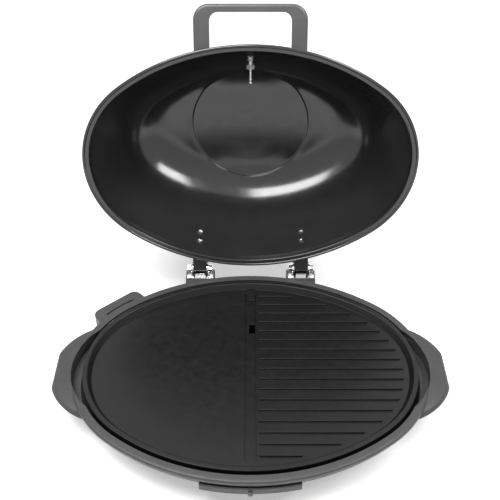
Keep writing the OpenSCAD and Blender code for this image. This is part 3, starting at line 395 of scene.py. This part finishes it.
def shoulder(gap, steps=24):
    """From the flat top down to the leaning wall, gap outside the inner face."""
    tilt = (-math.sin(LEAN), math.cos(LEAN))
    foot = (BAND_OUT - BEND_R + BEND_R * math.cos(LEAN), BAND_Z + BEND_R * math.sin(LEAN))
    reach = (DOME_Z - foot[1]) / tilt[1]
    corner = (foot[0] + reach * tilt[0], DOME_Z)
    start = (corner[0] - SHOULDER * tilt[0], corner[1] - SHOULDER * tilt[1])
    ends = (start, corner, (CROWN_OUT, DOME_Z))
    spots = []
    for k in range(steps + 1):
        t = 1 - k / steps
        shares = ((1 - t) ** 2, 2 * t * (1 - t) * ROUNDNESS, t * t)
        spots.append([sum(w * at[i] for w, at in zip(shares, ends)) / sum(shares) for i in range(2)])
    path = []
    for k, spot in enumerate(spots):
        before, after = spots[max(0, k - 1)], spots[min(steps, k + 1)]
        d = (after[0] - before[0], after[1] - before[1])
        if k in (0, steps):
            d = (1.0, 0.0) if k == 0 else (-tilt[0], -tilt[1])
        size = math.hypot(*d)
        path.append((spot[0] - gap * d[1] / size, spot[1] + gap * d[0] / size))
    return path


def out_of(x, y):
    """How far a point lies outside the plate's oval; negative inside it."""
    x, y = abs(x), abs(y)
    if x > END_X and math.atan2(y, x - END_X) < END_ANGLE:
        return math.hypot(x - END_X, y) - END_R
    return math.hypot(x, y + SIDE_Y) - SIDE_R


def height_at(path, out):
    """The height of a shoulder path at a given distance out."""
    if out <= path[0][0]:
        return path[0][1]
    for a, b in zip(path, path[1:]):
        if out <= b[0]:
            return a[1] + (b[1] - a[1]) * (out - a[0]) / (b[0] - a[0])
    return path[-1][1]


def lid_skin():
    """Inner face, bead and outer face in one run of rings, from the crown's tip out and back."""
    bend = (BAND_OUT - BEND_R, BAND_Z)
    turn = math.degrees(LEAN)
    fall, cover = shoulder(0.0, FINE_STEPS), shoulder(SHEET, FINE_STEPS)
    inner = [p for p in shoulder(0.0) if p[0] >= FLAT_OUT] + arc(bend, BEND_R, turn, 0, 5)
    inner += arc((BAND_OUT + FLANGE_FILLET, FLANGE_Z + FLANGE_FILLET), FLANGE_FILLET, 180, 270, 4)
    roll = arc((BEAD_OUT, FLANGE_Z), BEAD_R, 180, BEAD_END, 22)[1:]
    outer = arc((BAND_OUT + 2 * SHEET, FLANGE_Z + 2 * SHEET), SHEET, 270, 180, 4)
    outer += arc(bend, BEND_R + SHEET, 0, turn, 5)
    outer += [p for p in shoulder(SHEET)[::-1] if p[0] >= FLAT_OUT]
    discs = [(EMBOSS_R + beyond, share) for beyond, share in EMBOSS_EDGE]
    disc_edge = discs[0][0]
    steps_out = (0.2, 0.4, 0.6, 0.8)
    stations = oval_stations(PER_END, PER_SIDE)
    place = lid_place()
    bm = bmesh.new()
    rings = []

    def oval_ring(out, z):
        """A ring parallel to the oval."""
        rings.append([bm.verts.new(place @ Vector((c.x + u.x * (r + out), c.y + u.y * (r + out), z)))
                      for c, u, r in stations])

    def disc_ring(radius, path, rise):
        """A round ring on the raised disc, which follows the crown's fall."""
        row = []
        for c, u, r in stations:
            at = (c + u * (r + FLAT_OUT)).normalized() * radius
            z = height_at(path, out_of(at.x, at.y)) + rise
            row.append(bm.verts.new(place @ Vector((at.x, at.y, z))))
        rings.append(row)

    def between(share, path):
        """A ring part of the way from the raised disc out to the shoulder's first ring."""
        row = []
        for c, u, r in stations:
            edge = c + u * (r + FLAT_OUT)
            at = edge.normalized() * (disc_edge + (edge.length - disc_edge) * share)
            z = height_at(path, out_of(at.x, at.y))
            row.append(bm.verts.new(place @ Vector((at.x, at.y, z))))
        rings.append(row)

    for radius, share in discs[::-1]:
        disc_ring(radius, fall, share * EMBOSS_H)
    for share in steps_out:
        between(share, fall)
    for out, z in inner + roll + outer:
        oval_ring(out, z)
    for share in steps_out[::-1]:
        between(share, cover)
    for radius, share in discs:
        disc_ring(radius, cover, share * EMBOSS_H)
    count = len(stations)
    for a, b in zip(rings, rings[1:]):
        for k in range(count):
            bm.faces.new((a[k], a[(k + 1) % count], b[(k + 1) % count], b[k]))
    for row, z in ((rings[0], DOME_Z + EMBOSS_H), (rings[-1], DOME_Z + EMBOSS_H + SHEET)):
        tip = bm.verts.new(place @ Vector((0, 0, z)))
        for k in range(count):
            bm.faces.new((tip, row[k], row[(k + 1) % count]))
    made = piece_from(bm, "lid_skin", "lid", FINISH["lid"], LID_SMOOTH_ANGLE)
    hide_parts("lid_shell")


lid_skin()


# Dial: ticks and generic numbers on the enamel

outward = (Matrix.Rotation(OPENING, 3, "X") @ Vector((0, -math.cos(LEAN), math.sin(LEAN)))).normalized()
dial_points = [v.co for v in nodes["gauge_dial"].data.vertices]
dial_middle = sum(dial_points, Vector()) / len(dial_points)
face_height = max((p - dial_middle).dot(outward) for p in dial_points)
dial_right = Vector((1, 0, 0))
dial_up = outward.cross(dial_right).normalized()
dial_place = Matrix.Translation(dial_middle + outward * face_height) @ Matrix(
    (dial_right, dial_up, outward)).transposed().to_4x4()
PROUD = 0.04 * MM
DIAL_START, DIAL_TURN = 225, 270
TICKS, LONG_EVERY = 28, 3
TICK_OUTER = 21.6
LONG_TICK, SHORT_TICK = (18.2, 0.32), (19.8, 0.18)
NUMBER_SIZE, NUMBER_R = 4.4 * MM, 14.2
LOWEST, NUMBER_STEP, NUMBERS = 50, 75, 4


def dial_marks():
    """Thin raised bars round the dial, with a longer one at every third place."""
    bm = bmesh.new()
    for i in range(TICKS):
        a = math.radians(DIAL_START - i * DIAL_TURN / (TICKS - 1))
        c, s = math.cos(a), math.sin(a)
        inner, half = LONG_TICK if i % LONG_EVERY == 0 else SHORT_TICK
        corners = ((inner, -half), (TICK_OUTER, -half), (TICK_OUTER, half), (inner, half))
        ring = [Vector((r * c - t * s, r * s + t * c, 0)) * MM for r, t in corners]
        low = [bm.verts.new(dial_place @ p) for p in ring]
        high = [bm.verts.new(dial_place @ (p + Vector((0, 0, PROUD)))) for p in ring]
        bm.faces.new(high)
        bm.faces.new(low[::-1])
        for k in range(4):
            bm.faces.new((low[k], low[(k + 1) % 4], high[(k + 1) % 4], high[k]))
    piece_from(bm, "dial_ticks", "lid", INK)


def dial_number(text, angle):
    """One raised number on the dial, as a mesh."""
    curve = bpy.data.curves.new("dial_number_" + text, "FONT")
    curve.body = text
    curve.size = NUMBER_SIZE
    curve.align_x = "CENTER"
    curve.align_y = "CENTER"
    curve.extrude = PROUD / 2
    writing = bpy.data.objects.new("writing", curve)
    bpy.context.collection.objects.link(writing)
    bpy.context.view_layer.update()
    mesh = bpy.data.meshes.new_from_object(writing)
    bpy.data.objects.remove(writing)
    a = math.radians(angle)
    spot = Vector((NUMBER_R * math.cos(a), NUMBER_R * math.sin(a), 0)) * MM
    mesh.transform(dial_place @ Matrix.Translation(spot + Vector((0, 0, PROUD / 2))))
    mesh.name = "dial_number_" + text
    mesh.materials.clear()
    mesh.materials.append(INK)
    made = bpy.data.objects.new("dial_number_" + text, mesh)
    bpy.context.collection.objects.link(made)
    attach(made, "lid")


dial_marks()
for n in range(NUMBERS):
    dial_number(str(LOWEST + NUMBER_STEP * n), DIAL_START - n * DIAL_TURN / (NUMBERS - 1))


# Thread on the gauge's stem, inside the lid

THREAD_R, THREAD_DEPTH = 3.12 * MM, 0.3 * MM
THREAD_PITCH, THREAD_L = 0.8 * MM, 2.0 * MM
THREAD_START = 0.2 * MM
RIDGE_TOP, RIDGE_END = 0.35, 0.7
THREAD_SMOOTH_ANGLE = 60


def helix_thread(name, radius, pitch, start, length, depth):
    """A fine ridge wound round the stem, from start along the axis that points into the lid."""
    inward = -outward
    steps_per_turn = 24
    turns = length / pitch
    side = Vector((1, 0, 0))
    other = inward.cross(side)
    bm = bmesh.new()
    rows = []
    for k in range(int(turns * steps_per_turn) + 1):
        a = 2 * math.pi * k / steps_per_turn
        out = side * math.cos(a) + other * math.sin(a)
        at = dial_middle + inward * (start + pitch * k / steps_per_turn)
        root = at + out * (radius - depth)
        crest = at + out * radius + inward * pitch * RIDGE_TOP
        rows.append([bm.verts.new(p) for p in (root, crest, root + inward * pitch * RIDGE_END)])
    for a, b in zip(rows, rows[1:]):
        for i in range(3):
            bm.faces.new((a[i], a[(i + 1) % 3], b[(i + 1) % 3], b[i]))
    bm.faces.new(rows[0])
    bm.faces.new(rows[-1][::-1])
    piece_from(bm, name, "lid", FINISH["gauge_metal"], THREAD_SMOOTH_ANGLE)


wing_top = max((v.co - dial_middle).dot(-outward) for v in nodes["gauge_wing_nut"].data.vertices)
helix_thread("stem_thread", THREAD_R, THREAD_PITCH, wing_top + THREAD_START, THREAD_L, THREAD_DEPTH)


# Camera at the photograph's angle

CAMERA_AT = (0.0, -0.8070, 0.9309)
CAMERA_TILT = math.radians(48.5)
SENSOR, LENS, SHIFT_X = 36.0, 56.7, -0.001

camera_data = bpy.data.cameras.new("camera")
camera_data.sensor_width = SENSOR
camera_data.lens = LENS
camera_data.shift_x = SHIFT_X
camera_data.clip_end = 50.0
camera = bpy.data.objects.new("camera", camera_data)
camera.location = CAMERA_AT
camera.rotation_euler = (CAMERA_TILT, 0.0, 0.0)
bpy.context.collection.objects.link(camera)
bpy.context.scene.camera = camera


# Floor, background and lamps

FLOOR_SIZE = 12.0
FLOOR_COLOUR = (0.92, 0.92, 0.92, 1.0)
GLOW_FROM, GLOW_TO = 0.9, 3.0
GLOW_NEAR, GLOW_FAR = 0.42, 0.86
SKY = 0.12

def seen_directly(g):
    """1 for camera, glossy and transmission rays, else 0."""
    rays = g.add("LightPath")
    direct = g.math("MAXIMUM", rays.outputs["Is Camera Ray"], rays.outputs["Is Glossy Ray"])
    return g.math("MAXIMUM", direct, rays.outputs["Is Transmission Ray"])


def make_floor():
    """A pale floor that keeps the shadow and grows as light as the background further out."""
    bm = bmesh.new()
    bmesh.ops.create_grid(bm, x_segments=8, y_segments=8, size=FLOOR_SIZE)
    mesh = bpy.data.meshes.new("floor")
    bm.to_mesh(mesh)
    bm.free()
    material = bpy.data.materials.new("floor")
    material.use_nodes = True
    g = Graph(material.node_tree)
    shader = material.node_tree.nodes["Principled BSDF"]
    shader.inputs["Base Color"].default_value = FLOOR_COLOUR
    shader.inputs["Roughness"].default_value = 0.85
    shader.inputs["Specular IOR Level"].default_value = 0.1
    shader.inputs["Emission Color"].default_value = LAMP_WHITE
    where = g.add("TexCoord").outputs["Object"]
    away = g.add("VectorMath", {"operation": "LENGTH"}, _0=where).outputs["Value"]
    glow = g.span(away, GLOW_FROM, GLOW_TO, GLOW_NEAR, GLOW_FAR)
    g.put(shader, "Emission Strength", g.math("MULTIPLY", seen_directly(g), glow))
    mesh.materials.append(material)
    made = bpy.data.objects.new("floor", mesh)
    bpy.context.collection.objects.link(made)


def make_world():
    """White to the camera and in reflections, dim as a light."""
    world = bpy.data.worlds.new("studio")
    world.use_nodes = True
    bpy.context.scene.world = world
    g = Graph(world.node_tree)
    back = world.node_tree.nodes["Background"]
    back.inputs["Color"].default_value = LAMP_WHITE
    g.put(back, "Strength", g.math("MAXIMUM", seen_directly(g), SKY))


def lamp(name, place, aim, width, height, watts):
    """A rectangular softbox, with its width level from left to right."""
    data = bpy.data.lights.new(name, "AREA")
    data.shape = "RECTANGLE"
    data.size = width
    data.size_y = height
    data.energy = watts
    back = (Vector(place) - Vector(aim)).normalized()
    across = (Vector((1, 0, 0)) - back * back.x).normalized()
    turn = Matrix((across, back.cross(across), back)).transposed().to_4x4()
    made = bpy.data.objects.new(name, data)
    made.matrix_world = Matrix.Translation(Vector(place)) @ turn
    bpy.context.collection.objects.link(made)


make_floor()
make_world()
lamp("left_softbox", (-0.46, -0.36, 1.66), (0.05, 0.21, 0.15), width=0.95, height=0.75, watts=36)
lamp("right_softbox", (0.84, -0.24, 1.36), (-0.12, 0.2, 0.15), width=0.38, height=0.75, watts=15)
lamp("rear_softbox", (0.0, 1.3, 1.5), (0.0, 0.1, 0.2), width=1.4, height=0.4, watts=5)

bpy.context.scene.view_settings.view_transform = "Standard"
